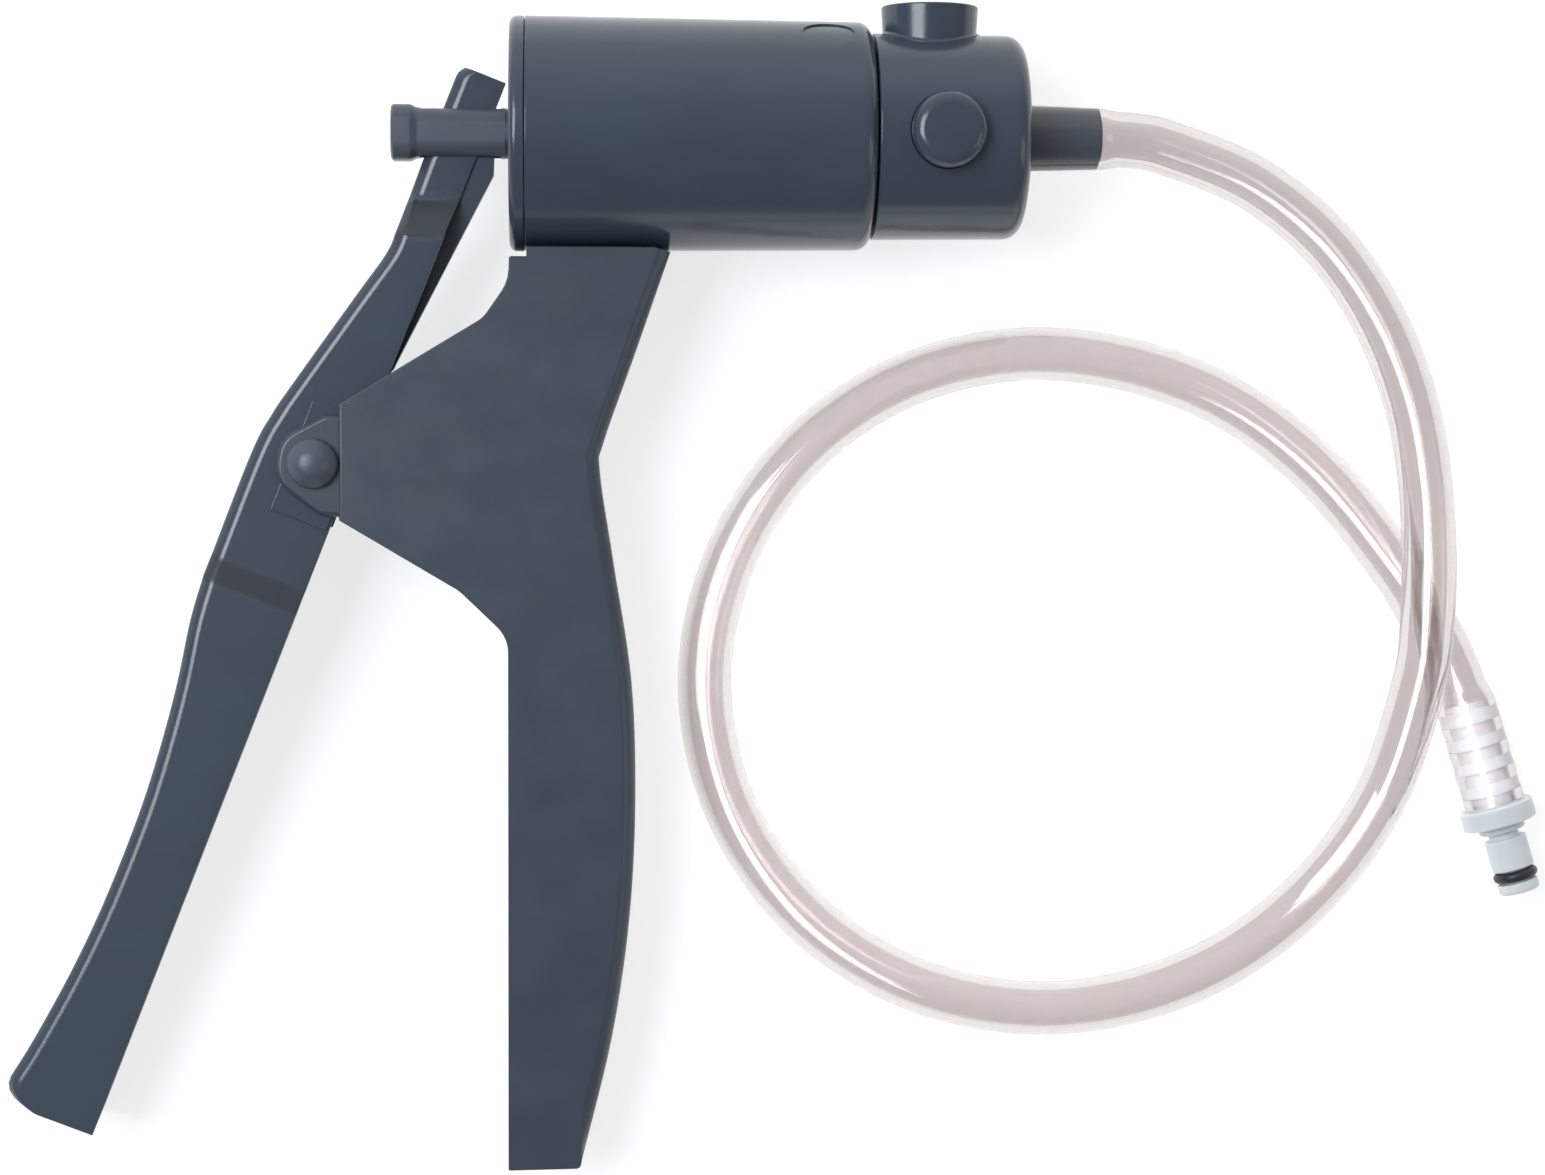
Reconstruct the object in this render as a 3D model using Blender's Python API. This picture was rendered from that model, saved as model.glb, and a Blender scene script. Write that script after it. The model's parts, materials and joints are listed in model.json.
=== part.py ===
"""Pistol-grip hand vacuum pump with a clear hose and a quick-disconnect insert.

The pump lies on its side. Its own drawing frame has X along the barrel axis (0 at the seam
between rear cap and barrel), Y up the grip and Z across it. The rig empty lays that frame on
the surface: the barrel touches it along its length and the grip's lower end touches it too.
Everything is drawn in millimetres and scaled to metres where the meshes are made.
"""

import math

import bmesh
import bpy
from mathutils import Vector

MM = 0.001
GAP = 0.3  # between pieces that touch

# Barrel, cap and rod
BARREL_R = 20.0
BARREL_FRONT_R = 19.45
BARREL_END = 59.2
BORE_R = 17.6
CAP_BACK = -2.6
ROD_R = 4.25
ROD_HEAD_R = 4.75
ROD_BACK = -22.7
SLOT = (-17.75, -4.0)
SLOT_HALF = 2.4
FORK_END = -3.3

# Piston, at rest against the front of the barrel
PISTON = (44.2, 52.0)
PISTON_R = 17.1

# Front housing with the release button and the gauge port
HOUSING = (59.5, 85.4)
HOUSING_R = 17.65
CAVITY_R = 14.8
CAVITY_END = 82.2
BOSS_X = 69.5
BOSS_R = 8.25
BOSS_TOP = 22.3
BUTTON_X = 71.0
BUTTON_R = 6.4
SPIGOT_TIP = 99.1

# Grip and lever
GRIP_HALF = 9.5
POCKET_HALF = 7.8
GRIP_WALL = 2.3
GRIP_TOP = -19.4
GRIP_END = -177.4
PIVOT = (-35.7, -56.3)
PIN_R = 3.0
LEVER_TOP = (-3.2, 8.4)  # upper corner of the lever's straight edge
LEVER_LEAN = math.radians(21.4)
LEVER_LONG = 192.3
TONGUE_HALF = 2.0
LEVER_SKIN = 1.8

# Hose, 3/8 inch over 1/4 inch
HOSE_D = 9.525
HOSE_STEP = 1.3 * HOSE_D

# The pump's place on the surface it lies on
LAY_TILT = math.asin((BARREL_R - GRIP_HALF) / -GRIP_END)
RIG_AT = (-5.79, 77.45, BARREL_R)

# The insert's flange centre on the surface, and the way it points
INSERT_AT = (167.4, -40.6, 6.8)
INSERT_TURN = math.radians(-73.4)
BARB_LONG = 19.0

# The hose's route from the spigot to the insert's barb, on the surface
HOSE_ROUTE = [
    (94.0, 77.4, 20.0), (99.5, 77.2, 20.1), (105.5, 75.9, 20.3), (119.8, 70.2, 20.5),
    (132.7, 60.3, 20.2), (142.3, 47.2, 19.4), (148.4, 33.1, 18.2), (151.4, 19.2, 17.0),
    (152.5, 6.1, 16.0), (152.4, -5.9, 15.2), (151.3, -17.0, 13.8), (145.7, -37.3, 8.8),
    (134.6, -53.9, 5.5), (119.0, -66.2, 4.9), (100.3, -73.3, 4.9), (80.3, -74.6, 4.9),
    (60.1, -69.3, 4.9), (42.5, -57.2, 4.9), (30.2, -38.9, 4.9), (25.7, -17.0, 4.9),
    (30.1, 4.7, 4.9), (42.2, 23.3, 4.9), (59.8, 35.8, 4.9), (80.2, 41.1, 4.9),
    (100.5, 39.6, 4.9), (119.4, 32.6, 4.9), (135.6, 20.3, 4.9), (149.2, 3.8, 4.9),
    (154.8, -5.4, 5.3), (158.4, -12.4, 6.0), (161.2, -19.8, 6.6),
]

ABS_DARK = ((0.060, 0.084, 0.108), 0.32, 0.0)
ABS_MATT = ((0.062, 0.086, 0.108), 0.42, 0.0)
STEEL = ((0.55, 0.56, 0.57), 0.30, 1.0)
RUBBER = ((0.012, 0.012, 0.014), 0.55, 0.0)
ACETAL = ((0.86, 0.87, 0.88), 0.35, 0.0)
CLEAR = ((0.85, 0.84, 0.84), 0.10, 0.0)


def clear_scene():
    for old in list(bpy.data.objects):
        bpy.data.objects.remove(old)


def material(name, look):
    colour, roughness, metallic = look
    made = bpy.data.materials.new(name)
    made.use_nodes = True
    shader = made.node_tree.nodes["Principled BSDF"]
    shader.inputs["Base Color"].default_value = (*colour, 1.0)
    shader.inputs["Roughness"].default_value = roughness
    shader.inputs["Metallic"].default_value = metallic
    return made


def empty(name, at=(0, 0, 0), turn=(0, 0, 0), parent=None):
    made = bpy.data.objects.new(name, None)
    bpy.context.collection.objects.link(made)
    made.location = Vector(at) * MM
    made.rotation_euler = turn
    made.parent = parent
    return made


def place(name, bm, look, parent, at=(0, 0, 0), turn=(0, 0, 0)):
    """A mesh drawn in millimetres becomes an object in metres, its faces turned outwards."""
    bmesh.ops.recalc_face_normals(bm, faces=bm.faces)
    bmesh.ops.scale(bm, vec=(MM, MM, MM), verts=bm.verts)
    mesh = bpy.data.meshes.new(name)
    bm.to_mesh(mesh)
    bm.free()
    mesh.shade_smooth()
    mesh.set_sharp_from_angle(angle=math.radians(35))
    made = bpy.data.objects.new(name, mesh)
    bpy.context.collection.objects.link(made)
    made.parent = parent
    made.location = Vector(at) * MM
    made.rotation_euler = turn
    if look:
        mesh.materials.append(look)
    return made


ALONG_X = (0, 0, 0)
ALONG_Y = (0, 0, math.radians(90))
ALONG_Z = (0, math.radians(-90), 0)


def lathe(name, profile, look, parent, at=(0, 0, 0), turn=ALONG_X, sides=24):
    """A closed profile of (along, radius) turned about the local X axis."""
    bm = bmesh.new()
    rings = []
    for along, radius in profile:
        if radius == 0:
            rings.append([bm.verts.new((along, 0, 0))] * sides)
            continue
        turned = []
        for i in range(sides):
            angle = math.tau * (i + 0.5) / sides
            turned.append(bm.verts.new((along, radius * math.cos(angle), radius * math.sin(angle))))
        rings.append(turned)
    for i, turned in enumerate(rings):
        after = rings[(i + 1) % len(rings)]
        for j in range(sides):
            k = (j + 1) % sides
            corners = list(dict.fromkeys((turned[j], turned[k], after[k], after[j])))
            if len(corners) > 2:
                bm.faces.new(corners)
    return place(name, bm, look, parent, at, turn)


def rod(name, start, end, radius, look, parent, at=(0, 0, 0), turn=ALONG_X, sides=24):
    profile = [(start, 0), (start, radius), (end, radius), (end, 0)]
    return lathe(name, profile, look, parent, at, turn, sides)


def ring(name, start, end, inner, outer, look, parent, at=(0, 0, 0), turn=ALONG_X, sides=24):
    profile = [(start, inner), (start, outer), (end, outer), (end, inner)]
    return lathe(name, profile, look, parent, at, turn, sides)


def loft(name, sections, look, parent, flat_faces=False):
    """Closed sections with equally many points, skinned and capped; flat faces can be merged."""
    bm = bmesh.new()
    rings = [[bm.verts.new(point) for point in section] for section in sections]
    for first, second in zip(rings, rings[1:]):
        for j in range(len(first)):
            k = (j + 1) % len(first)
            bm.faces.new((first[j], first[k], second[k], second[j]))
    bm.faces.new(rings[0])
    bm.faces.new(rings[-1])
    if flat_faces:
        nearly_flat = math.radians(0.2)
        bmesh.ops.recalc_face_normals(bm, faces=bm.faces)
        bmesh.ops.dissolve_limit(bm, angle_limit=nearly_flat, verts=bm.verts, edges=bm.edges)
    return place(name, bm, look, parent)


def plate(name, outline, low, high, look, parent):
    """A flat outline in X and Y with a thickness across the pump."""
    sections = [[(x, y, across) for x, y in outline] for across in (low, high)]
    return loft(name, sections, look, parent)


def block(name, low, high, parent):
    outline = [(low[0], low[1]), (high[0], low[1]), (high[0], high[1]), (low[0], high[1])]
    return plate(name, outline, low[2], high[2], None, parent)


def combine(target, helper, operation):
    helper.hide_render = True
    helper.display_type = "WIRE"
    modifier = target.modifiers.new(helper.name, "BOOLEAN")
    modifier.operation = operation
    modifier.solver = "EXACT"
    modifier.object = helper


def cut(target, helper):
    combine(target, helper, "DIFFERENCE")


def join(target, helper):
    combine(target, helper, "UNION")


def smooth_line(points, per_span):
    """Points along the Catmull-Rom curve through the given ones."""
    points = [Vector(p) for p in points]
    ends = [points[0] * 2 - points[1], *points, points[-1] * 2 - points[-2]]
    line = []
    for a, b, c, d in zip(ends, ends[1:], ends[2:], ends[3:]):
        for i in range(per_span):
            t = i / per_span
            line.append(
                0.5 * (2 * b + (c - a) * t + (2 * a - 5 * b + 4 * c - d) * t * t
                       + (3 * b - a - 3 * c + d) * t ** 3)
            )
    line.append(points[-1])
    return line


def arc(centre, radius, start, end, steps):
    """Points on an arc, angles in degrees."""
    angles = [math.radians(start + (end - start) * i / steps) for i in range(steps + 1)]
    return [(centre[0] + radius * math.cos(a), centre[1] + radius * math.sin(a)) for a in angles]


def coil(name, radius, wire, start, end, turns, look, parent, at=(0, 0, 0), turn=ALONG_X):
    """A round-wire compression spring about the local X axis."""
    per_turn, sides = 10, 6
    rings = []
    steps = int(per_turn * turns)
    for i in range(steps + 1):
        angle = math.tau * i / per_turn
        middle = Vector((start + wire + (end - start - 2 * wire) * i / steps, 0, 0))
        out = Vector((0, math.cos(angle), math.sin(angle)))
        section = []
        for j in range(sides):
            around = math.tau * j / sides
            side = out * math.cos(around) + Vector((1, 0, 0)) * math.sin(around)
            section.append(middle + out * radius + side * wire)
        rings.append(section)
    made = loft(name, rings, look, parent)
    made.location = Vector(at) * MM
    made.rotation_euler = turn
    return made


# The barrel and what is in it

SADDLE_SCREWS_X = (5.0, 14.5)
LUG_R = 3.2
LUG_LOW = -22.6


def barrel(look, rig):
    front_wall = 56.2
    body = lathe("barrel", [
        (0.15, BORE_R), (0.15, BARREL_R), (56.4, BARREL_FRONT_R), (58.3, 18.9), (BARREL_END, 17.3),
        (BARREL_END, 5.0), (front_wall, 5.0), (front_wall, BORE_R),
    ], look, rig, sides=32)
    for i, x in enumerate(SADDLE_SCREWS_X):
        join(body, rod(f"lug_{i}", LUG_LOW, -18.6, LUG_R, None, rig, (x, 0, 0), ALONG_Y, 16))
        cut(body, rod(f"lug_hole_{i}", LUG_LOW - 1, -19.2, 1.85, None, rig, (x, 0, 0), ALONG_Y, 12))


def rear_cap(look, rig):
    lathe("rear_cap", [
        (CAP_BACK, 5.7), (CAP_BACK, 19.3), (CAP_BACK + 0.7, BARREL_R), (-0.15, BARREL_R),
        (-0.15, BORE_R - GAP), (3.0, BORE_R - GAP), (3.0, 15.2), (0.6, 15.2), (0.6, 8.2),
        (7.0, 8.2), (7.0, 5.7),
    ], look, rig, sides=32)


def rod_bushing(look, rig):
    lathe("rod_bushing", [
        (CAP_BACK + 0.2, 4.5), (CAP_BACK + 0.2, 5.4), (7.3, 5.4), (7.3, 7.6), (8.5, 7.6), (8.5, 4.5),
    ], look, rig)


def return_spring(look, rig):
    coil("return_spring", 10.2, 0.8, 0.9, 41.6, 6.5, look, rig)


def rounded_square(along, half):
    """A square across X with its corners rounded."""
    corner = 1.3
    points = []
    for i in range(4):
        middle = math.radians(45 + 90 * i)
        u = math.copysign(half - corner, math.cos(middle))
        v = math.copysign(half - corner, math.sin(middle))
        for angle in (middle - math.pi / 4, middle, middle + math.pi / 4):
            points.append((along, u + corner * math.cos(angle), v + corner * math.sin(angle)))
    return points


def piston_rod(look, slide):
    """A round rod with a squared fork behind the cap, which the lever's tongue goes through."""
    stations = [
        (ROD_BACK, ROD_HEAD_R - 0.3), (ROD_BACK + 0.3, ROD_HEAD_R), (-19.3, ROD_HEAD_R),
        (-18.4, ROD_R), (FORK_END, ROD_R),
    ]
    fork = loft("piston_rod", [rounded_square(*station) for station in stations], look, slide)
    join(fork, lathe("rod_shaft", [
        (SLOT[1] + 0.1, 0), (SLOT[1] + 0.1, ROD_R), (PISTON[0] - GAP, ROD_R),
        (PISTON[0] - GAP, 2.5), (51.6, 2.5), (51.6, 1.7), (40.0, 1.7), (40.0, 0),
    ], None, slide))
    cut(fork, block("rod_slot", (SLOT[0], -8, -SLOT_HALF), (SLOT[1], 8, SLOT_HALF), slide))


def piston_pieces(looks, slide):
    ring("spring_seat", 41.9, 42.6, 4.55, 11.8, looks["steel"], slide)
    ring("exhaust_flap", 42.9, 43.9, 4.55, 15.0, looks["rubber"], slide)
    head = lathe("piston_head", [
        (PISTON[0], 2.8), (PISTON[0], PISTON_R), (46.8, PISTON_R), (46.8, 14.6), (49.6, 14.6),
        (49.6, PISTON_R), (PISTON[1], PISTON_R), (PISTON[1], 2.8),
    ], looks["abs"], slide, sides=32)
    for i in range(4):
        angle = math.radians(45 + 90 * i)
        place_at = (0, 12.6 * math.cos(angle), 12.6 * math.sin(angle))
        cut(head, rod(f"air_hole_{i}", 40, 56, 0.9, None, slide, place_at, sides=8))
    lathe("piston_seal", [
        (47.1, 15.0), (47.1, 16.4), (47.7, 17.35), (48.7, 17.35), (49.3, 16.4), (49.3, 15.0),
    ], looks["rubber"], slide, sides=32)
    ring("piston_washer", 52.3, 53.1, 1.7, 6.0, looks["steel"], slide)
    lathe("piston_screw", [
        (42.0, 0), (42.0, 1.4), (53.4, 1.4), (53.4, 3.6), (54.3, 3.6), (55.2, 2.6), (55.2, 0),
    ], looks["steel"], slide, sides=20)


# The front housing and its valves

def front_housing(look, rig):
    body = lathe("front_housing", [
        (HOUSING[0], 16.2), (HOUSING[0], HOUSING_R), (82.2, 17.45), (84.5, 16.5), (HOUSING[1], 14.4),
        (HOUSING[1], 3.5), (CAVITY_END, 3.5), (CAVITY_END, CAVITY_R), (61.2, CAVITY_R), (61.2, 16.2),
    ], look, rig, sides=32)
    join(body, rod("gauge_boss", 15.6, BOSS_TOP, BOSS_R, None, rig, (BOSS_X, 0, 0), ALONG_Y))
    cut(body, rod("gauge_bore", 17.0, 24, 5.2, None, rig, (BOSS_X, 0, 0), ALONG_Y))
    cut(body, rod("gauge_port", 10, 18, 3.4, None, rig, (BOSS_X, 0, 0), ALONG_Y, 20))
    cut(body, rod("button_bore", 10, 20, BUTTON_R + GAP, None, rig, (BUTTON_X, 0, 0), ALONG_Z))


def housing_pieces(looks, rig):
    ring("housing_seal", 59.6, 60.9, 14.9, 15.9, looks["rubber"], rig, sides=32)
    plate_body = ring("valve_plate", 61.5, 63.5, 1.6, 14.5, looks["acetal"], rig)
    for i in range(4):
        angle = math.radians(45 + 90 * i)
        place_at = (0, 3.2 * math.cos(angle), 3.2 * math.sin(angle))
        cut(plate_body, rod(f"inlet_{i}", 60, 65, 0.8, None, rig, place_at, sides=8))
    lathe("intake_valve", [
        (59.9, 0), (60.1, 2.5), (60.9, 4.6), (61.2, 4.6), (61.2, 1.3), (63.8, 1.3), (63.8, 2.0),
        (64.5, 1.6), (64.5, 0),
    ], looks["rubber"], rig, sides=24)
    core = ring("valve_block", 64.8, 80.6, 1.6, 6.5, looks["acetal"], rig)
    cut(core, rod("valve_bore", -0.2, 9, 3.0, None, rig, (BUTTON_X, 0, 0), ALONG_Z, 20))
    plug = lathe("gauge_port_plug", [
        (18.7, 0), (18.7, 4.9), (21.3, 4.9), (21.8, 4.4), (21.8, 0),
    ], looks["abs"], rig, (BOSS_X, 0, 0), ALONG_Y)
    cut(plug, rod("plug_socket", 19.6, 23, 2.3, None, rig, (BOSS_X, 0, 0), ALONG_Y, 6))
    ring("gauge_plug_seal", 17.3, 18.4, 3.6, 4.8, looks["rubber"], rig, (BOSS_X, 0, 0), ALONG_Y)


def hose_spigot(look, rig):
    """A hollow barb pressed into the front wall; the hose is pushed over it."""
    barbs = []
    for i in range(3):
        start = 87.4 + 3.9 * i
        barbs += [(start, 4.25), (start + 3.6, 3.6), (start + 3.9, 3.6)]
    lathe("hose_spigot", [
        (81.2, 1.8), (81.2, 3.2), (85.7, 3.2), (85.7, 3.9), (87.1, 3.9), *barbs, (SPIGOT_TIP, 3.6),
        (SPIGOT_TIP, 1.8),
    ], look, rig)


def release_button(looks, push):
    button = lathe("release_button", [
        (11.4, 0), (11.4, 7.1), (12.4, 7.1), (12.4, BUTTON_R), (18.3, BUTTON_R), (19.6, 5.95),
        (20.4, 5.1), (20.7, 4.0), (20.7, 0),
    ], looks["abs"], push, turn=ALONG_Z)
    cut(button, rod("stem_hole", 10, 15.2, 1.8, None, push, turn=ALONG_Z, sides=16))
    rod("release_stem", 2.6, 14.8, 1.45, looks["steel"], push, turn=ALONG_Z, sides=16)
    ring("stem_seal", 4.2, 5.6, 1.75, 2.7, looks["rubber"], push, turn=ALONG_Z, sides=20)


def release_spring(look, rig):
    coil("release_spring", 3.9, 0.3, 6.8, 11.1, 2.5, look, rig, (BUTTON_X, 0, 0), ALONG_Z)


# The grip, which is one moulded channel open towards the lever

def grip_front_edge():
    points = [
        (24.7, -20.3), (18.8, -37.4), (13.5, -52.4), (12.8, -57.6), (15.1, -72.9), (18.2, -93.3),
        (18.9, -113.8), (17.9, -134.4), (14.9, -155.0), (9.8, -176.0),
    ]
    return [(p.x, p.y) for p in smooth_line([(x, y, 0) for x, y in points], 3)]


def grip_outline():
    """Round the side wall, from the ledge under the barrel down the back to the heel."""
    throat = arc((-11.0, -24.3), 8.3, 0, -58, 4)
    palm_knee = arc((-15.7, -92.0), 12.9, 62, 15, 4)
    back = [(0.3, GRIP_TOP), (0.3, -21.2), (-2.6, -21.2), *throat, (-31.4, -46.3), (-31.4, -65.9)]
    heel = [(-2.8, -90.0), (-2.8, GRIP_END), (4.2, GRIP_END)]
    return back + palm_knee + heel + grip_front_edge()[::-1] + [(22.0, GRIP_TOP)]


def ear_outline():
    return [
        (-30.0, -48.1), (-34.1, -48.1), *arc((-36.0, -56.3), 6.2, 130, 225, 8), (-34.4, -64.8),
        (-30.0, -65.6),
    ]


def grip(look, rig):
    body = plate("grip", grip_outline(), -GRIP_HALF, GRIP_HALF, look, rig)
    join(body, plate("grip_ears", ear_outline(), 0.6 - GRIP_HALF, GRIP_HALF - 0.6, None, rig))
    inside = [(x - GRIP_WALL, y) for x, y in grip_front_edge() if -174.5 < y < -25.0]
    pocket = [(-60, -25.0), (inside[0][0], -25.0), *inside, (inside[-1][0], -175.0), (-60, -175.0)]
    cut(body, plate("grip_pocket", pocket, -POCKET_HALF, POCKET_HALF, None, rig))
    cut(body, rod("saddle", -5, 40, BARREL_R + GAP, None, rig, sides=64))
    pin_at = (*PIVOT, 0)
    cut(body, rod("ear_holes", -12, 12, PIN_R + 0.1, None, rig, pin_at, ALONG_Z, 24))
    for i, x in enumerate(SADDLE_SCREWS_X):
        at = (x, 0, 0)
        cut(body, rod(f"lug_pocket_{i}", -22.9, -15, LUG_R + GAP, None, rig, at, ALONG_Y, 16))
        cut(body, rod(f"screw_way_{i}", -28, -22, 1.9, None, rig, at, ALONG_Y, 12))


def saddle_screws(look, rig):
    for i, x in enumerate(SADDLE_SCREWS_X):
        lathe(f"saddle_screw_{i + 1}", [
            (-27.4, 0), (-27.4, 2.4), (-26.9, 2.9), (-25.3, 2.9), (-25.3, 1.5), (-19.6, 1.5), (-19.6, 0),
        ], look, rig, (x, 0, 0), ALONG_Y, 16)


def pivot_pin(looks, rig):
    lathe("pivot_pin", [
        (-11.6, 0), (-11.6, PIN_R), (9.2, PIN_R), (9.2, 4.05), (10.4, 4.05), (11.6, 3.3), (12.4, 1.7),
        (12.6, 0),
    ], looks["abs"], rig, (*PIVOT, 0), ALONG_Z, 28)
    ring("pin_retainer", -10.9, -9.8, PIN_R + 0.3, 4.8, looks["steel"], rig, (*PIVOT, 0), ALONG_Z, 24)


# The lever, drawn along its straight edge: how far down it, how wide, how thick each side

LEVER_STATIONS = [
    (0.0, 7.6, TONGUE_HALF), (1.8, 8.4, TONGUE_HALF), (22.5, 8.4, TONGUE_HALF), (30.0, 8.0, 7.5),
    (34.5, 8.1, 7.5), (42.5, 10.2, 7.5), (60.6, 14.8, 7.5), (66.7, 16.2, 7.5), (74.0, 17.1, 7.5),
    (93.3, 17.1, 7.5), (98.0, 16.9, 9.0), (104.7, 16.3, 9.0), (115.0, 14.6, 9.0), (125.4, 13.4, 9.0),
    (136.0, 12.65, 9.0), (147.0, 12.5, 9.0), (158.0, 12.8, 9.0), (169.0, 13.7, 9.0),
    (181.0, 15.3, 9.0), (188.5, 16.7, 9.0), (190.8, 15.4, 9.0), (LEVER_LONG, 12.2, 9.0),
]


def lever_point(along, out):
    """A point so far down the lever's straight edge and so far out from it, towards its back."""
    s, c = math.sin(LEVER_LEAN), math.cos(LEVER_LEAN)
    return LEVER_TOP[0] - along * s - out * c, LEVER_TOP[1] - along * c + out * s


def lever_section(along, low, high, half):
    near, far = lever_point(along, low), lever_point(along, high)
    return [(*near, -half), (*far, -half), (*far, half), (*near, half)]


def from_hinge(points):
    return [(x - PIVOT[0], y - PIVOT[1], *rest) for x, y, *rest in points]


def lever(looks, hinge):
    outer = [from_hinge(lever_section(a, 0, w, h)) for a, w, h in LEVER_STATIONS]
    body = loft("lever", outer, looks["abs"], hinge, flat_faces=True)
    inside = [(36.7, 8.7, 7.5), *(station for station in LEVER_STATIONS if 40 < station[0] < 189)]
    hollow = [
        from_hinge(lever_section(a, -3, w - LEVER_SKIN, h - LEVER_SKIN)) for a, w, h in inside
    ]
    end = lever_section(LEVER_LONG - 2, -3, 11.0, 9.0 - LEVER_SKIN)
    cut(body, loft("lever_hollow", [*hollow, from_hinge(end)], None, hinge, flat_faces=True))
    web_back = [lever_point(*place_at) for place_at in ((58, 13.0), (42.5, 9.2), (31, 7.0), (12, 5.0))]
    web = [(-10.0, 3.0), (-4.9, 4.0), (-5.3, -7.2), (-22.5, -40.4), (-29.5, -46.0), *web_back]
    web_half = TONGUE_HALF - 0.05
    join(body, plate("lever_web", from_hinge(web), -web_half, web_half, None, hinge))
    cut(body, rod("lever_holes", -12, 12, PIN_R + 0.15, None, hinge, turn=ALONG_Z, sides=24))
    ring("lever_bush", -5.4, 5.4, PIN_R + 0.15, 4.5, looks["acetal"], hinge, turn=ALONG_Z, sides=24)


# The hose and the quick-disconnect insert on its end

def coupling_insert(looks):
    hold = empty("insert_axis", INSERT_AT, (0, 0, INSERT_TURN))
    back = -1.75
    barbs = []
    for i in range(4):
        start = back - BARB_LONG + 4.4 * i
        barbs += [(start, 3.4), (start + 3.6, 4.2), (start + 3.7, 3.4)]
    lathe("coupling_insert", [
        (back - BARB_LONG, 1.6), *barbs, (back, 3.4), (back, 6.3), (back + 0.3, 6.55),
        (1.45, 6.55), (1.75, 6.3), (1.75, 4.1), (3.15, 4.1), (3.15, 2.7), (4.45, 2.7), (4.45, 3.75),
        (10.1, 3.75), (10.1, 2.6), (12.5, 2.6), (12.5, 3.65), (14.0, 3.65), (14.4, 3.2), (14.4, 1.6),
    ], looks["acetal"], hold)
    lathe("coupling_o_ring", [
        (10.4, 2.9), (10.4, 3.5), (10.9, 4.0), (11.7, 4.0), (12.2, 3.5), (12.2, 2.9),
    ], looks["rubber"], hold)


def even_points(points, step):
    """Points about that far apart along the smooth curve through the given ones."""
    fine = smooth_line(points, 12)
    travelled = [0.0]
    for a, b in zip(fine, fine[1:]):
        travelled.append(travelled[-1] + (b - a).length)
    count = round(travelled[-1] / step)
    even, j = [], 0
    for i in range(count + 1):
        wanted = travelled[-1] * i / count
        while j < len(fine) - 2 and travelled[j + 1] < wanted:
            j += 1
        share = (wanted - travelled[j]) / (travelled[j + 1] - travelled[j])
        even.append(fine[j].lerp(fine[j + 1], share))
    return even


def hose(look):
    curve = bpy.data.curves.new("hose", "CURVE")
    curve.dimensions = "3D"
    curve.bevel_depth = HOSE_D / 2 * MM
    curve.bevel_resolution = 2
    curve.use_fill_caps = True
    points = even_points(HOSE_ROUTE, HOSE_STEP)
    spline = curve.splines.new("POLY")
    spline.points.add(len(points) - 1)
    for point, position in zip(spline.points, points):
        point.co = (*(position * MM), 1)
    curve.materials.append(look)
    bpy.context.collection.objects.link(bpy.data.objects.new("hose", curve))


def build():
    clear_scene()
    looks = {
        "abs": material("dark_abs", ABS_DARK),
        "grip": material("matt_abs", ABS_MATT),
        "steel": material("steel", STEEL),
        "rubber": material("rubber", RUBBER),
        "acetal": material("acetal", ACETAL),
        "clear": material("clear_hose", CLEAR),
    }
    rig = empty("rig", RIG_AT, (LAY_TILT, 0, 0))
    hinge = empty("lever_hinge", (*PIVOT, 0), parent=rig)
    slide = empty("piston_slide", parent=rig)
    push = empty("button_push", (BUTTON_X, 0, 0), parent=rig)

    barrel(looks["abs"], rig)
    rear_cap(looks["abs"], rig)
    rod_bushing(looks["acetal"], rig)
    return_spring(looks["steel"], rig)
    piston_rod(looks["abs"], slide)
    piston_pieces(looks, slide)

    front_housing(looks["abs"], rig)
    housing_pieces(looks, rig)
    hose_spigot(looks["abs"], rig)
    release_button(looks, push)
    release_spring(looks["steel"], rig)

    grip(looks["grip"], rig)
    saddle_screws(looks["steel"], rig)
    pivot_pin(looks, rig)
    lever(looks, hinge)

    coupling_insert(looks)
    hose(looks["clear"])


build()
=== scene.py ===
"""Looks of the hand vacuum pump: fine moulded shells, clear hose and white insert.

Pieces of the pump are drawn in its own frame, in millimetres: X along the barrel from the seam
between rear cap and barrel, Y up the grip, Z across it. PUMP takes that frame to the row frame.
"""

import json
import math

import bmesh
import bpy
from mathutils import Matrix, Vector


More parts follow.
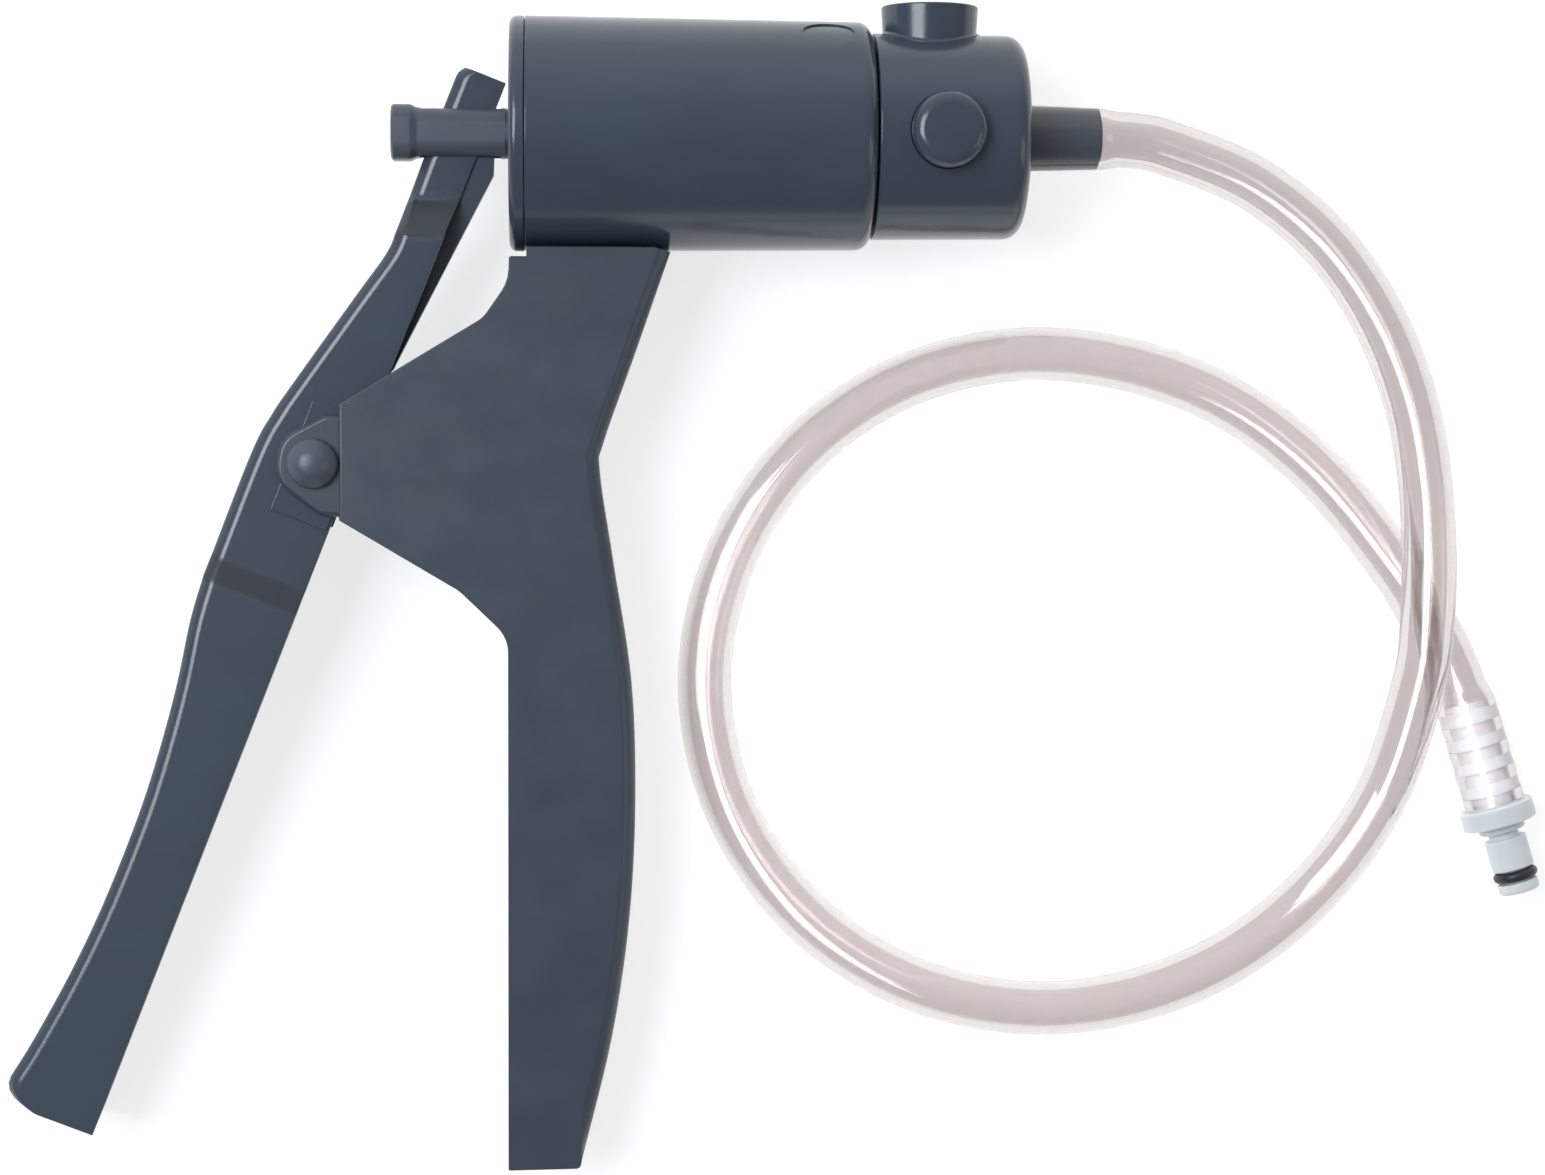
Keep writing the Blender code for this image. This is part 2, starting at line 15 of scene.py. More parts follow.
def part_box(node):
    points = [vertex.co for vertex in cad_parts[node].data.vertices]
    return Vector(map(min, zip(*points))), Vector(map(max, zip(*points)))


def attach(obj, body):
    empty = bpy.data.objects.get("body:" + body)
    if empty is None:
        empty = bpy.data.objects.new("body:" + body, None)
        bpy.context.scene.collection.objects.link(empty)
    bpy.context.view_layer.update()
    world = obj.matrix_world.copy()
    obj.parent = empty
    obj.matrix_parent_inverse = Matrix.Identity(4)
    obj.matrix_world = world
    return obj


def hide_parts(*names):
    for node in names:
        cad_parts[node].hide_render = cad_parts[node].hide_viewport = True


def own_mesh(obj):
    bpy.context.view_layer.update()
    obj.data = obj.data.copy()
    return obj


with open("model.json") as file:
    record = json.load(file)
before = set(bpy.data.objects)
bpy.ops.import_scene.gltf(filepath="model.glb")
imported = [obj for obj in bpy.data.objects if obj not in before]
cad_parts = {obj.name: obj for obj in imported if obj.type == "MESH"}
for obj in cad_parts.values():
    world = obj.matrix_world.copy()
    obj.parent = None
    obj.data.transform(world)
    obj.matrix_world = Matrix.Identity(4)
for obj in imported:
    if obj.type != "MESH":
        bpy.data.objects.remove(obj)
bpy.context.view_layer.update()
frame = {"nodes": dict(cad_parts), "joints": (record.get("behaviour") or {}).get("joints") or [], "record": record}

MM = 0.001
MILLIMETRES = Matrix.Scale(MM, 4)


def joint(name):
    return next(j for j in frame["joints"] if j["name"] == name)


# The pump's frame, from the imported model

CAP_BACK = -2.6
BARREL_R = 20.0
cap_low, cap_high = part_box("rear_cap")
ACROSS = Vector(joint("lever_hinge")["axis"]).normalized()
UP = ACROSS.cross(Vector((1, 0, 0)))
ORIGIN = Vector((
    cap_low[0] - CAP_BACK * MM,
    (cap_low[1] + cap_high[1]) / 2,
    (cap_low[2] + cap_high[2]) / 2,
))
PUMP = Matrix((
    (1, UP.x, ACROSS.x, ORIGIN.x),
    (0, UP.y, ACROSS.y, ORIGIN.y),
    (0, UP.z, ACROSS.z, ORIGIN.z),
    (0, 0, 0, 1),
)) @ MILLIMETRES
PIVOT_AT = PUMP.inverted() @ Vector(joint("lever_hinge")["pos_m"])
PIVOT = (PIVOT_AT.x, PIVOT_AT.y)

# The lever's straight edge, from its top end down. Two steps make it thicker, each given as
# (start, length), and each has a matt band darkened with painted shade, given as (start, end, slant).

LEVER_TOP = Vector((-3.2, 8.4))
LEVER_LEAN = math.radians(21.4)
STEP_SLANT = 0.42
FIRST_STEP, SECOND_STEP = (22.7, 7.0), (92.6, 4.6)
LEVER_SHADE_BANDS = ((21.0, 28.2, STEP_SLANT), (SECOND_STEP[0], sum(SECOND_STEP), 0.0))


def lever_way(slant):
    """What a place in the row frame is multiplied by to give millimetres along the lever."""
    s, c = math.sin(LEVER_LEAN), math.cos(LEVER_LEAN)
    way = Vector((-s + slant * c, -c - slant * s, 0))
    return PUMP.to_3x3() @ way / MM ** 2


# The insert's flange centre and direction, as in the CAD, in millimetres of the row frame

INSERT_AT = Vector((167.4, -40.6, 6.8))
INSERT_TURN = math.radians(-73.4)
INSERT_WAY = Vector((math.cos(INSERT_TURN), math.sin(INSERT_TURN), 0))
INSERT = MILLIMETRES @ Matrix.Translation(INSERT_AT) @ Matrix.Rotation(INSERT_TURN, 4, "Z")
FLANGE_BACK = -1.75
BARB_LONG = 19.0
BARB_STEP = 4.4


# Camera, light and floor

def camera():
    """Straight above the pump's middle, turned a little towards the hose."""
    above, aim = Vector((0.0002, -0.0002, 0.580)), Vector((0.0367, -0.0002, 0.020))
    lens = bpy.data.cameras.new("camera")
    lens.lens = 76.0
    lens.sensor_width = 36.0
    lens.clip_start = 0.01
    made = bpy.data.objects.new("camera", lens)
    bpy.context.collection.objects.link(made)
    forward = (aim - above).normalized()
    right = forward.cross(Vector((0, 1, 0))).normalized()
    up = right.cross(forward)
    made.matrix_world = Matrix((
        (right.x, up.x, -forward.x, above.x),
        (right.y, up.y, -forward.y, above.y),
        (right.z, up.z, -forward.z, above.z),
        (0, 0, 0, 1),
    ))
    bpy.context.scene.camera = made


def area_light(name, at, aim, size, power, colour=(1, 1, 1)):
    lamp = bpy.data.lights.new(name, "AREA")
    lamp.shape = "RECTANGLE"
    lamp.size, lamp.size_y = size
    lamp.energy = power
    lamp.color = colour
    made = bpy.data.objects.new(name, lamp)
    bpy.context.collection.objects.link(made)
    made.location = at
    made.rotation_euler = (Vector(aim) - Vector(at)).to_track_quat("-Z", "Y").to_euler()
    return made


def room_light():
    """A dim room with a bright wall beyond the barrel."""
    world = bpy.data.worlds.new("studio")
    world.use_nodes = True
    tree = world.node_tree
    place = tree.nodes.new("ShaderNodeTexCoord")
    axes = tree.nodes.new("ShaderNodeSeparateXYZ")
    share = tree.nodes.new("ShaderNodeMapRange")
    ramp = tree.nodes.new("ShaderNodeValToRGB")
    tree.links.new(place.outputs["Generated"], axes.inputs[0])
    tree.links.new(axes.outputs["Y"], share.inputs["Value"])
    share.inputs["From Min"].default_value = -1.0
    tree.links.new(share.outputs["Result"], ramp.inputs["Fac"])
    stops = [
        (0.0, (0.26, 0.25, 0.25)), (0.5, (0.30, 0.30, 0.32)), (0.72, (0.50, 0.51, 0.53)),
        (0.95, (1.0, 1.0, 1.0)),
    ]
    elements = ramp.color_ramp.elements
    elements[0].position, elements[1].position = stops[0][0], stops[-1][0]
    for at, _ in stops[1:-1]:
        elements.new(at)
    for element, (_, colour) in zip(elements, stops):
        element.color = (*colour, 1)
    background = tree.nodes["Background"]
    tree.links.new(ramp.outputs["Color"], background.inputs["Color"])
    bpy.context.scene.world = world


def white_sheet():
    """The floor, a little luminous so that it stays white under the pump's shadow."""
    bm = bmesh.new()
    bmesh.ops.create_grid(bm, x_segments=1, y_segments=1, size=6.0)
    floor = linked("floor", bm)
    n = Nodes("floor_white")
    n.set(
        Base_Color=(0.45, 0.45, 0.45, 1), Roughness=0.9, Specular_IOR_Level=0.1,
        Emission_Color=(1, 1, 1, 1), Emission_Strength=0.72,
    )
    floor.data.materials.append(n.material)


def studio():
    bpy.context.scene.view_settings.view_transform = "Standard"
    room_light()
    area_light(
        "window", at=(-0.44, 0.13, 0.78), aim=(0.0, -0.04, 0.0), size=(0.52, 0.46), power=6.5,
        colour=(0.90, 0.96, 1.0),
    )
    area_light(
        "fill", at=(0.95, -0.20, 0.55), aim=(0.02, 0.0, 0.0), size=(0.4, 0.6), power=0.8,
        colour=(1.0, 0.96, 0.92),
    )
    white_sheet()


def hose_light(hose_piece):
    """A long lamp to the left that only the clear hose mirrors, on its right and lower left."""
    x, y = -0.22, -0.28
    lamp = area_light("hose_lamp", at=(x, y, 0.90), aim=(x, y, 0.0), size=(0.42, 0.95), power=11.0)
    lit = bpy.data.collections.new("mirrors_hose_lamp")
    lit.objects.link(hose_piece)
    lamp.light_linking.receiver_collection = lit


# Materials

PLASTIC_IOR = 1.52


class Nodes:
    """A material's node tree with a few short calls."""

    def __init__(self, name):
        self.material = bpy.data.materials.new(name)
        self.material.use_nodes = True
        self.tree = self.material.node_tree
        self.shader = self.tree.nodes["Principled BSDF"]
        self.place = self.add("ShaderNodeTexCoord").outputs["Object"]

    def add(self, kind, inputs=None, **settings):
        node = self.tree.nodes.new(kind)
        for key, value in settings.items():
            setattr(node, key, value)
        for key, value in (inputs or {}).items():
            self.feed(node.inputs[key], value)
        return node

    def feed(self, socket, value):
        if isinstance(value, bpy.types.NodeSocket):
            self.tree.links.new(value, socket)
        else:
            socket.default_value = value

    def set(self, **inputs):
        for key, value in inputs.items():
            self.feed(self.shader.inputs[key.replace("_", " ")], value)

    def noise(self, scale, detail=3.0, stretch=None):
        place = self.place
        if stretch:
            place = self.add("ShaderNodeMapping", {"Vector": place, "Scale": stretch}).outputs[0]
        inputs = {"Vector": place, "Scale": scale, "Detail": detail}
        return self.add("ShaderNodeTexNoise", inputs).outputs["Fac"]

    def span(self, value, low, high, start=0.3, end=0.7):
        """From low to high as the value goes from start to end."""
        inputs = {"Value": value, "From Min": start, "From Max": end, "To Min": low, "To Max": high}
        return self.add("ShaderNodeMapRange", inputs).outputs["Result"]

    def blend(self, share, *colours):
        """From the first colour to the second; each is a triple or a socket."""
        node = self.add("ShaderNodeMix", {0: share}, data_type="RGBA")
        for socket, colour in zip(node.inputs[6:8], colours):
            ready = isinstance(colour, bpy.types.NodeSocket)
            self.feed(socket, colour if ready else (*colour, 1))
        return node.outputs[2]

    def calculate(self, operation, *values):
        return self.add("ShaderNodeMath", dict(enumerate(values)), operation=operation).outputs[0]

    def along(self, way):
        """How far each place lies along that vector, times its length."""
        inputs = {0: self.place, 1: tuple(way)}
        return self.add("ShaderNodeVectorMath", inputs, operation="DOT_PRODUCT").outputs["Value"]

    def let_light_in(self, tint):
        """Rays from lamps pass the surface, tinted, and so reach what is behind it."""
        path = self.add("ShaderNodeLightPath")
        clear = self.add("ShaderNodeBsdfTransparent", {"Color": (*tint, 1)})
        mix = self.add("ShaderNodeMixShader", {0: path.outputs["Is Shadow Ray"]})
        self.tree.links.new(self.shader.outputs["BSDF"], mix.inputs[1])
        self.tree.links.new(clear.outputs["BSDF"], mix.inputs[2])
        output = self.tree.nodes["Material Output"]
        self.tree.links.new(mix.outputs["Shader"], output.inputs["Surface"])

    def bump(self, height, strength, distance=0.0001):
        inputs = {"Height": height, "Strength": strength, "Distance": distance}
        return self.add("ShaderNodeBump", inputs).outputs["Normal"]


def shade(colour, by):
    return tuple(c * by for c in colour)


def flow_marks(n, colour):
    flow = n.noise(55.0, 4.0, (1.0, 2.2, 1.0))
    return n.blend(n.span(flow, 0.0, 1.0), shade(colour, 0.93), shade(colour, 1.07))


def fine_grain(n):
    return n.bump(n.noise(2600.0, 2.0), 0.10)


def moulded_plastic(name, colour, roughness):
    """Injection moulding: faint flow marks in the colour, fine grain and uneven gloss."""
    n = Nodes(name)
    smudge = n.noise(130.0, 5.0)
    n.set(
        Base_Color=flow_marks(n, colour),
        Roughness=n.span(smudge, roughness * 0.86, roughness * 1.14),
        Normal=fine_grain(n),
        IOR=PLASTIC_IOR,
    )
    return n.material


def stepped_plastic(name, colour, roughness):
    """The lever's moulding: a matt band on each step of its cheeks, with painted shade making it darker and
    browner.
    """
    n = Nodes(name)
    soft, matt = 0.25, 0.32
    shade_bands = []
    for start, end, slant in LEVER_SHADE_BANDS:
        way = lever_way(slant)
        along, zero = n.along(way), way.dot(PUMP @ LEVER_TOP.to_3d())
        into = n.span(along, 0.0, 1.0, zero + start - soft, zero + start + soft)
        out = n.span(along, 1.0, 0.0, zero + end - soft, zero + end + soft)
        shade_bands.append(n.calculate("MULTIPLY", into, out))
    height = n.calculate("SUBTRACT", n.along(ACROSS / MM), ACROSS.dot(ORIGIN) / MM)
    off_web = TONGUE_HALF + 0.1, TONGUE_HALF + 0.3
    on_cheek = n.span(n.calculate("ABSOLUTE", height), 0.0, 1.0, *off_web)
    share = n.calculate("MULTIPLY", n.calculate("MAXIMUM", *shade_bands), on_cheek)
    n.set(
        # Painted shade: the bands take this darker colour; the higher roughness makes them matt.
        Base_Color=n.blend(share, flow_marks(n, colour), (0.023, 0.029, 0.041)),
        Roughness=n.span(share, roughness, matt, 0.0, 1.0),
        Normal=fine_grain(n),
        IOR=PLASTIC_IOR,
    )
    return n.material


def clear_vinyl():
    """Clear flexible vinyl with a faint warm tint, a little unevenly polished."""
    n = Nodes("clear_vinyl")
    n.set(
        Base_Color=(0.72, 0.68, 0.675, 1),
        Transmission_Weight=1.0,
        IOR=1.53,
        Roughness=n.span(n.noise(60.0, 3.0), 0.045, 0.085),
    )
    n.let_light_in((0.86, 0.84, 0.84))
    return n.material


def white_acetal():
    """Milky moulded acetal, painted lighter under the hose than on the coupling's own end, standing in for light
    that the hose takes from it.
    """
    n = Nodes("white_acetal")
    tone = n.span(n.noise(160.0, 3.0), 0.0, 0.06)
    flange = INSERT_AT.dot(INSERT_WAY) * MM
    painted_light_under_hose = n.span(n.along(INSERT_WAY), 1.0, 0.0, flange - 0.003, flange - 0.001)
    open_white = n.blend(tone, (0.65, 0.685, 0.70), (0.90, 0.90, 0.90))
    n.set(
        # Painted light: the part under the hose is made whiter than the open end.
        Base_Color=n.blend(painted_light_under_hose, open_white, (0.80, 0.815, 0.84)),
        Roughness=n.span(n.noise(700.0), 0.28, 0.42),
        Subsurface_Weight=0.5,
        Subsurface_Radius=(0.0016, 0.0016, 0.0017),
        Subsurface_Scale=1.0,
        Normal=n.bump(n.noise(2200.0), 0.06),
    )
    return n.material


def black_rubber():
    n = Nodes("black_rubber")
    bloom = n.span(n.noise(400.0), 0.0, 1.0)
    n.set(
        Base_Color=n.blend(bloom, (0.010, 0.010, 0.012), (0.022, 0.022, 0.025)),
        Roughness=n.span(n.noise(900.0), 0.30, 0.50),
        Normal=n.bump(n.noise(3000.0), 0.08),
    )
    return n.material


def turned_steel():
    n = Nodes("turned_steel")
    lines = n.noise(900.0, 2.0, (14.0, 1.0, 1.0))
    n.set(
        Base_Color=n.blend(n.span(lines, 0.0, 1.0), (0.46, 0.47, 0.48), (0.62, 0.62, 0.63)),
        Metallic=1.0,
        Roughness=n.span(n.noise(500.0), 0.22, 0.40),
        Normal=n.bump(lines, 0.10),
    )
    return n.material


# Mesh helpers

def linked(name, bm):
    """A new object with that mesh, its faces pointing out."""
    bmesh.ops.recalc_face_normals(bm, faces=bm.faces)
    mesh = bpy.data.meshes.new(name)
    bm.to_mesh(mesh)
    bm.free()
    made = bpy.data.objects.new(name, mesh)
    bpy.context.collection.objects.link(made)
    return made


def evaluate(obj):
    """The object's modifiers become part of its mesh."""
    graph = bpy.context.evaluated_depsgraph_get()
    mesh = bpy.data.meshes.new_from_object(obj.evaluated_get(graph))
    obj.modifiers.clear()
    old, obj.data = obj.data, mesh
    bpy.data.meshes.remove(old)


def taken_back(obj):
    """The object's mesh, for more work on it; the object goes."""
    bm = bmesh.new()
    bm.from_mesh(obj.data)
    bpy.data.objects.remove(obj)
    return bm


def smooth_shaded(obj, look, sharp):
    """One material; edges stay sharp from that angle up."""
    obj.data.materials.clear()
    obj.data.materials.append(look)
    obj.data.shade_smooth()
    obj.data.set_sharp_from_angle(angle=math.radians(sharp))


def finish_piece(name, bm, look, body, replaced, place=PUMP, sharp=32):
    """The drawn mesh as an object in the row frame, riding on its body."""
    bmesh.ops.transform(bm, matrix=place, verts=bm.verts)
    made = linked(name, bm)
    smooth_shaded(made, look, sharp)
    weighted = made.modifiers.new("weighted", "WEIGHTED_NORMAL")
    weighted.keep_sharp = True
    evaluate(made)
    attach(made, body)
    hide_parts(replaced)
    return made


ARC_STEP = math.radians(11)
NEARLY_STRAIGHT = 1.56
SIDE_SHARE = 0.49
ON_AXIS = 1e-5


def rounded(points):
    """A closed outline: corners given as (x, y, radius) become arcs; (x, y) stays sharp."""
    out = []
    for i, (x, y, *radius) in enumerate(points):
        here = Vector((x, y))
        if not radius:
            out.append(here)
            continue
        before = Vector(points[i - 1][:2]) - here
        after = Vector(points[(i + 1) % len(points)][:2]) - here
        a, b = before.normalized(), after.normalized()
        half = a.angle(b) / 2
        room = SIDE_SHARE * min(before.length, after.length)
        back = min(radius[0] / math.tan(half), room)
        if back < 1e-4 or half > NEARLY_STRAIGHT:
            out.append(here)
            continue
        r = back * math.tan(half)
        centre = here + (a + b).normalized() * (r / math.sin(half))
        start, end = here + a * back - centre, here + b * back - centre
        turn = start.angle_signed(end)
        steps = max(2, math.ceil(abs(turn) / ARC_STEP))
        for k in range(steps + 1):
            angle = -turn * k / steps
            c, s = math.cos(angle), math.sin(angle)
            out.append(centre + Vector((start.x * c - start.y * s, start.x * s + start.y * c)))
    return out


# X, Y and Z of a place given along an axis and twice across it

AXES = {
    "X": lambda along, u, v: (along, u, v),
    "Y": lambda along, u, v: (u, along, v),
    "Z": lambda along, u, v: (u, v, along),
}


def banded(bm, rings):
    """Faces from each ring of vertices to the next; a pole repeats one vertex."""
    for first, second in zip(rings, rings[1:]):
        for j in range(len(first)):
            k = (j + 1) % len(first)
            corners = list(dict.fromkeys((first[j], first[k], second[k], second[j])))
            if len(corners) > 2:
                bm.faces.new(corners)


def turned(profile, axis="X", at=(0, 0, 0), sides=96):
    """A closed (along, radius, corner radius) profile turned about an axis."""
    bm = bmesh.new()
    to_axis = AXES[axis]
    rings = []
    for along, radius in rounded(profile):
        if radius < ON_AXIS:
            rings.append([bm.verts.new(Vector(to_axis(along, 0, 0)) + Vector(at))] * sides)
            continue
        ring = []
        for i in range(sides):
            angle = math.tau * i / sides
            point = to_axis(along, radius * math.cos(angle), radius * math.sin(angle))
            ring.append(bm.verts.new(Vector(point) + Vector(at)))
        rings.append(ring)
    banded(bm, [*rings, rings[0]])
    bmesh.ops.recalc_face_normals(bm, faces=bm.faces)
    return bm


def skin(sections, caps=True):
    """Closed sections with equally many points, joined in order."""
    bm = bmesh.new()
    rings = [[bm.verts.new(p) for p in section] for section in sections]
    banded(bm, rings)
    if caps:
        bm.faces.new(rings[0])
        bm.faces.new(rings[-1])
    bmesh.ops.recalc_face_normals(bm, faces=bm.faces)
    return bm


def slab(outline, low, high):
    """A flat outline in X and Y, as thick as from low to high."""
    return skin([[(p[0], p[1], z) for p in outline] for z in (low, high)])


def box(low, high):
    (x0, y0, z0), (x1, y1, z1) = low, high
    return slab([(x0, y0), (x1, y0), (x1, y1), (x0, y1)], z0, z1)


def disc(start, end, radius, axis="X", at=(0, 0, 0), sides=64):
    return turned([(start, 0), (start, radius), (end, radius), (end, 0)], axis, at, sides)


def carved(start, steps):
    """A mesh joined with or cut by others in turn; steps are ("UNION" or "DIFFERENCE", bmesh)."""
    target = linked("carving", start)
    for operation, bm in steps:
        tool = linked("tool", bm)
        modifier = target.modifiers.new("carve", "BOOLEAN")
        modifier.operation, modifier.solver, modifier.object = operation, "EXACT", tool
        evaluate(target)
        bpy.data.objects.remove(tool)
    return taken_back(target)


def eased(bm, width, share, segments=4, profile=0.5, clamp=True):
    """Edges get a round of that width times share(edge); a profile of 0.25 is a chamfer."""
    weights = bm.edges.layers.float.new("bevel_weight_edge")
    for edge in bm.edges:
        edge[weights] = share(edge)
    target = linked("easing", bm)
    modifier = target.modifiers.new("ease", "BEVEL")
    modifier.limit_method, modifier.width, modifier.segments = "WEIGHT", width, segments
    modifier.profile, modifier.use_clamp_overlap = profile, clamp
    evaluate(target)
    return taken_back(target)


def smooth_line(points, per_span):
    """Points along a Catmull-Rom curve through the given ones."""
    points = [Vector(p) for p in points]
    ends = [points[0] * 2 - points[1], *points, points[-1] * 2 - points[-2]]
    line = []
    for a, b, c, d in zip(ends, ends[1:], ends[2:], ends[3:]):
        for i in range(per_span):
            t = i / per_span
            line.append(
                0.5 * (2 * b + (c - a) * t + (2 * a - 5 * b + 4 * c - d) * t * t
                       + (3 * b - a - 3 * c + d) * t ** 3)
            )
    line.append(points[-1])
    return line


# Barrel, rear cap and rod

ROD_R = 4.25
ROD_HEAD_R = 4.75
LUGS_AT = (5.0, 14.5)


def barrel(look):
    """A tube with two lugs below for the grip's screws and a shallow round mark in front."""
    bore, end = 17.6, 59.2
    tube = turned([
        (0.05, bore), (0.05, BARREL_R, 0.25), (54.0, 19.5, 9.0), (end, 19.45, 2.9), (end, 5.0, 0.3),
        (56.2, 5.0), (56.2, bore, 0.8),
    ], sides=160)
    lugs = [("UNION", disc(-22.6, -18.6, 3.2, "Y", (x, 0, 0))) for x in LUGS_AT]
    mark_at, mark_lean, mark_floor_r = 51.3, 31, 19.25
    mark = disc(18.0, 21.5, 4.4, "Z", sides=72)
    place = Matrix.Translation((mark_at, 0, 0))
    place @= Matrix.Rotation(math.radians(mark_lean - 90), 4, "X")
    bmesh.ops.transform(mark, matrix=place, verts=mark.verts)
    mark = carved(mark, [("DIFFERENCE", disc(40, 60, mark_floor_r, sides=160))])
    bm = carved(tube, [*lugs, ("DIFFERENCE", mark)])
    finish_piece("barrel_shell", bm, look, "pump_body", "barrel")


def rear_cap(look):
    bm = turned([
        (CAP_BACK, 5.7, 0.3), (CAP_BACK, BARREL_R - 0.05, 1.6), (-0.05, BARREL_R, 0.25), (-0.05, 17.3),
        (3.0, 17.3), (3.0, 15.2), (0.6, 15.2), (0.6, 8.2), (7.0, 8.2), (7.0, 5.7),
    ], sides=160)
    finish_piece("rear_cap_disc", bm, look, "pump_body", "rear_cap")


def rounded_square(along, half, corner):
    corners = [(-half, -half), (half, -half), (half, half), (-half, half)]
    return [(along, p.x, p.y) for p in rounded([(*c, corner) for c in corners])]


def piston_rod(look):
    """A round rod with a squared fork behind the cap."""
    back, shoulder, stud, corner = -22.7, 43.9, 51.6, 3.0
    stations = [
        (back, ROD_HEAD_R - 0.45), (back + 0.12, ROD_HEAD_R - 0.2), (back + 0.4, ROD_HEAD_R),
        (-19.6, ROD_HEAD_R), (-19.2, ROD_HEAD_R - 0.1), (-18.5, ROD_R + 0.05), (-18.1, ROD_R),
        (-3.3, ROD_R),
    ]
    fork = skin([rounded_square(*station, corner) for station in stations])
    shaft = turned([
        (-3.9, 0), (-3.9, ROD_R), (shoulder, ROD_R, 0.2), (shoulder, 2.5), (stud, 2.5, 0.3),
        (stud, 1.7), (40.0, 1.7), (40.0, 0),
    ], sides=96)
    bm = carved(fork, [
        ("UNION", shaft),
        ("DIFFERENCE", box((-17.75, -8, -2.4), (-4.0, 8, 2.4))),
    ])
    finish_piece("rod_with_head", bm, look, "piston", "piston_rod")


# Front housing, boss, button

BUTTON_X = 71.0
BUTTON_R = 6.4
BOSS_X = 69.5
SPIGOT_R = 4.5
SPIGOT_TIP = 99.1


def gauge_boss(host_r):
    """A round boss whose foot runs out tangentially onto the round housing it stands on."""
    top, top_r, foot_r, edge, flare = 22.3, 8.35, 8.1, 0.35, 0.45
    lip, sunk, overlap, sides, foot_steps = 2.0, 0.9, 0.02, 96, 7

    def ring(r, level_at):
        angles = [math.tau * i / sides for i in range(sides)]
        spots = [(r * math.cos(a), r * math.sin(a)) for a in angles]
        return [(BOSS_X + u, level_at(v), v) for u, v in spots]

    def host(v):
        return math.sqrt(host_r ** 2 - v * v)

    rings = [ring(top_r - edge - lip, lambda v: top), ring(top_r - edge, lambda v: top)]
    for degrees in (22, 45, 67, 90):
        a = math.radians(degrees)
        level = top - edge + edge * math.cos(a)
        rings.append(ring(top_r - edge + edge * math.sin(a), lambda v: level))
    for k in range(foot_steps + 1):
        a = math.pi / 2 * k / foot_steps
        lift = flare * (1 - math.sin(a)) - overlap
        rings.append(ring(foot_r + flare * (1 - math.cos(a)), lambda v: host(v) + lift))
    rings.append(ring(foot_r + flare, lambda v: host(v) - sunk))
    return skin(rings)


def front_housing(look):
    start, end, radius, cavity = 59.5, 85.4, 17.65, 14.8
    shell = turned([
        (start, 16.2), (start, radius, 0.3), (end, 17.4, 3.1), (end, 3.5, 0.2), (82.2, 3.5),
        (82.2, cavity, 1.0), (61.2, cavity), (61.2, 16.2),
    ], sides=160)
    bm = carved(shell, [
        ("UNION", gauge_boss(radius)),
        ("DIFFERENCE", disc(17.0, 24, 5.2, "Y", (BOSS_X, 0, 0))),
        ("DIFFERENCE", disc(10, 18, 3.4, "Y", (BOSS_X, 0, 0))),
        ("DIFFERENCE", disc(10, 20, BUTTON_R + 0.12, "Z", (BUTTON_X, 0, 0), 128)),
    ])
    finish_piece("front_shell", bm, look, "pump_body", "front_housing")


def gauge_plug(look):
    plug = turned([
        (18.7, 0), (18.7, 4.9, 0.2), (21.8, 4.9, 0.5), (21.8, 0),
    ], "Y", (BOSS_X, 0, 0))
    bm = carved(plug, [("DIFFERENCE", disc(19.6, 23, 2.3, "Y", (BOSS_X, 0, 0), 6))])
    finish_piece("port_plug", bm, look, "pump_body", "gauge_port_plug")


def release_button(look):
    bm = turned([
        (11.4, 0), (11.4, 7.1, 0.2), (12.4, 7.1), (12.4, BUTTON_R), (20.65, BUTTON_R, 2.3), (20.8, 0),
    ], "Z", (BUTTON_X, 0, 0), 128)
    stem_hole = disc(10, 15.2, 1.8, "Z", (BUTTON_X, 0, 0), 32)
    bm = carved(bm, [("DIFFERENCE", stem_hole)])
    finish_piece("button_cap", bm, look, "release_valve", "release_button")


def hose_spigot(look):
    """Slightly proud of the hose's bore, so that no air shows between them."""
    bm = turned([
        (81.2, 1.8), (81.2, 3.2), (85.7, 3.2), (85.7, SPIGOT_R, 0.1),
        (SPIGOT_TIP, SPIGOT_R - 0.55, 0.35), (SPIGOT_TIP, 1.8, 0.2),
    ])
    finish_piece("spigot_barb", bm, look, "pump_body", "hose_spigot")


# Grip

GRIP_HALF = 9.5
POCKET_HALF = 7.8
GRIP_WALL = 2.3
GRIP_TOP = -19.4
GRIP_END = -177.4
STEP_X = -31.25


def grip_front_edge(per_span):
    points = [
        (24.7, -20.3), (18.8, -37.4), (13.5, -52.4), (12.8, -57.6), (15.1, -72.9), (18.2, -93.3),
        (18.9, -113.8), (17.9, -134.4), (14.9, -155.0), (9.8, -176.0),
    ]
    return [(p.x, p.y) for p in smooth_line([(x, y, 0) for x, y in points], per_span)]


def level_edge(edge):
    return abs(edge.verts[0].co.z - edge.verts[1].co.z) < 0.01


